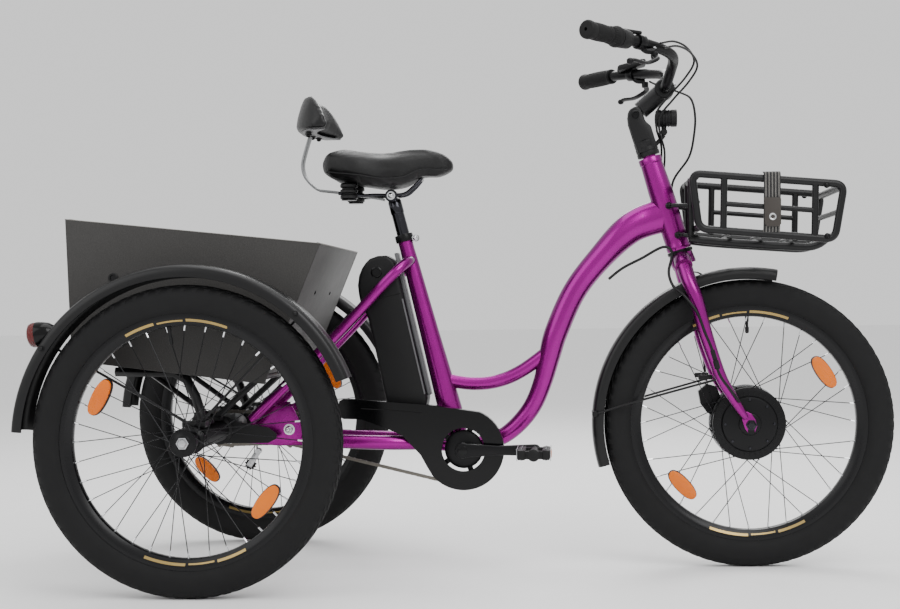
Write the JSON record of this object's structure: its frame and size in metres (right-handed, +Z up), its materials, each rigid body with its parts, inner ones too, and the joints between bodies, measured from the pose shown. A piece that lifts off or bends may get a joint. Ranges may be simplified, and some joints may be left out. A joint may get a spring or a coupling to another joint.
{
  "type": "adult tricycle",
  "caption": "Electric adult cargo tricycle: step-through frame, front hub motor, rear cargo box, front basket, sprung saddle with backrest, chain drive.",
  "frame": {"origin": "floor under the middle of the tricycle's length and width", "axes": "+X forwards, towards the front wheel; +Y to the rider's left; +Z up"},
  "size_m": [1.7746, 0.79, 1.1116],
  "materials": {
    "frame_lacquer": "gloss",
    "black_paint": "satin",
    "black_alloy": "satin",
    "grey_laminate": "matte",
    "fender_plastic": "satin",
    "red_lens": "gloss",
    "guard_plastic": "gloss",
    "black_plastic": "satin",
    "webbing": "matte",
    "cable_sleeve": "satin",
    "chain_steel": "satin",
    "post_alloy": "gloss",
    "bare_steel": "satin",
    "black_vinyl": "satin",
    "tyre_rubber": "matte",
    "wheel_alloy": "satin",
    "motor_shell": "satin",
    "grip_rubber": "matte",
    "hub_alloy": "satin",
    "cog_steel": "satin"
  },
  "bodies": {
    "frame": {"head_tube": "frame_lacquer", "main_tube": "frame_lacquer", "lower_brace": "frame_lacquer", "seat_tube": "frame_lacquer", "chain_stay_right": "frame_lacquer", "chain_stay_left": "frame_lacquer", "seat_stay_right": "frame_lacquer", "seat_stay_left": "frame_lacquer", "axle_carrier": "frame_lacquer", "rack_frame": "black_paint", "box_floor": "grey_laminate", "box_side_right": "grey_laminate", "box_side_left": "grey_laminate", "box_front": "grey_laminate", "box_rear": "grey_laminate", "rear_fender_right": "fender_plastic", "rear_fender_left": "fender_plastic", "tail_lamp": "red_lens", "chain_guard": "guard_plastic", "battery_rail": "black_plastic", "basket": "black_paint", "basket_strap": "webbing", "rear_brake_cable": "cable_sleeve", "motor_cable": "cable_sleeve", "drive_chain": "chain_steel", "axle_chain": "chain_steel"},
    "battery_pack": {"battery": "black_plastic"},
    "seat": {"seat_post": "post_alloy", "saddle": "black_vinyl", "backrest_bar": "bare_steel", "backrest": "black_vinyl"},
    "steering": {"fork_crown": "frame_lacquer", "fork_leg_right": "frame_lacquer", "fork_leg_left": "frame_lacquer", "front_fender": "fender_plastic", "brake_caliper": "black_paint", "front_axle": "bare_steel", "stem_base": "black_paint", "front_brake_cable": "cable_sleeve"},
    "lamp": {"head_lamp": "black_plastic"},
    "front_wheel": {"front_tyre": "tyre_rubber", "front_rim": "wheel_alloy", "hub_motor": "motor_shell"},
    "cockpit": {"stem_arm": "black_paint", "handlebar": "black_paint", "grip_right": "grip_rubber", "grip_left": "grip_rubber"},
    "shifter": {"twist_shifter": "grip_rubber"},
    "lever_right": {"brake_lever_right": "black_alloy"},
    "lever_left": {"brake_lever_left": "black_alloy"},
    "wheel_right": {"rear_tyre_right": "tyre_rubber", "rear_wheel_right": "wheel_alloy"},
    "wheel_left": {"rear_tyre_left": "tyre_rubber", "rear_wheel_left": "wheel_alloy"},
    "cranks": {"crankset": "black_alloy"},
    "pedal_body_right": {"pedal_right": "black_plastic"},
    "pedal_body_left": {"pedal_left": "black_plastic"},
    "jackshaft": {"gear_hub": "hub_alloy"},
    "cog": {"axle_cog": "cog_steel"},
    "tensioner": {"chain_tensioner": "cog_steel"}
  },
  "joints": [
    {"name": "steering", "type": "hinge", "parent": "frame", "child": "steering", "pos_m": [0.43983, 0, 0.678], "axis": [-0.2951, 0, 0.9555], "range_deg": [-60, 60], "deforming": ["rear_brake_cable", "motor_cable"]},
    {"name": "front_wheel_spin", "type": "hinge", "parent": "steering", "child": "front_wheel", "pos_m": [0.58133, 0, 0.306], "axis": [0, 1, 0], "continuous": true},
    {"name": "stem_angle", "type": "hinge", "parent": "steering", "child": "cockpit", "pos_m": [0.34883, 0, 0.967], "axis": [0, 1, 0], "range_deg": [-35, 2], "deforming": ["rear_brake_cable", "motor_cable", "front_brake_cable"]},
    {"name": "lamp_tilt", "type": "hinge", "parent": "steering", "child": "lamp", "pos_m": [0.40983, 0, 0.93], "axis": [0, 1, 0], "range_deg": [-8, 15]},
    {"name": "shifter_twist", "type": "hinge", "parent": "cockpit", "child": "shifter", "pos_m": [0.30783, -0.248, 1.09], "axis": [-0.5865, -0.8099, 0.014], "range_deg": [-40, 40]},
    {"name": "brake_lever_right", "type": "hinge", "parent": "cockpit", "child": "lever_right", "pos_m": [0.38083, -0.196, 1.062], "axis": [0, 0, -1], "range_deg": [0, 14], "stiffness_Nm_per_rad": 1.5, "springref_deg": -5.73},
    {"name": "brake_lever_left", "type": "hinge", "parent": "cockpit", "child": "lever_left", "pos_m": [0.38083, 0.196, 1.062], "axis": [0, 0, 1], "range_deg": [0, 14], "stiffness_Nm_per_rad": 1.5, "springref_deg": -5.73},
    {"name": "seat_height", "type": "slide", "parent": "frame", "child": "seat", "axis": [-0.247, 0, 0.969], "range_m": [-0.04, 0.1]},
    {"name": "battery_slide", "type": "slide", "parent": "frame", "child": "battery_pack", "axis": [-0.2173, 0, 0.9761], "range_m": [0, 0.045]},
    {"name": "wheel_right_spin", "type": "hinge", "parent": "frame", "child": "wheel_right", "pos_m": [-0.54217, -0.35, 0.306], "axis": [0, 1, 0], "continuous": true},
    {"name": "wheel_left_spin", "type": "hinge", "parent": "frame", "child": "wheel_left", "pos_m": [-0.54217, 0.35, 0.306], "axis": [0, 1, 0], "continuous": true},
    {"name": "crank_spin", "type": "hinge", "parent": "frame", "child": "cranks", "pos_m": [-0.02467, 0, 0.259], "axis": [0, 1, 0], "continuous": true},
    {"name": "pedal_right_spin", "type": "hinge", "parent": "cranks", "child": "pedal_body_right", "pos_m": [0.12783, -0.147, 0.259], "axis": [0, 1, 0], "continuous": true},
    {"name": "pedal_left_spin", "type": "hinge", "parent": "cranks", "child": "pedal_body_left", "pos_m": [-0.17717, 0.147, 0.259], "axis": [0, 1, 0], "continuous": true},
    {"name": "gear_hub_spin", "type": "hinge", "parent": "frame", "child": "jackshaft", "pos_m": [-0.39717, 0, 0.305], "axis": [0, 1, 0], "continuous": true},
    {"name": "axle_cog_spin", "type": "hinge", "parent": "frame", "child": "cog", "pos_m": [-0.54217, 0, 0.306], "axis": [0, 1, 0], "continuous": true},
    {"name": "tensioner_arm", "type": "hinge", "parent": "frame", "child": "tensioner", "pos_m": [-0.47217, -0.03, 0.2555], "axis": [0, 1, 0], "range_deg": [-10, 20], "stiffness_Nm_per_rad": 1.2}
  ],
  "couplings": [
    {"joint": "gear_hub_spin", "follows": "crank_spin", "ratio": 2.375},
    {"joint": "axle_cog_spin", "follows": "crank_spin", "ratio": 2.1111}
  ]
}
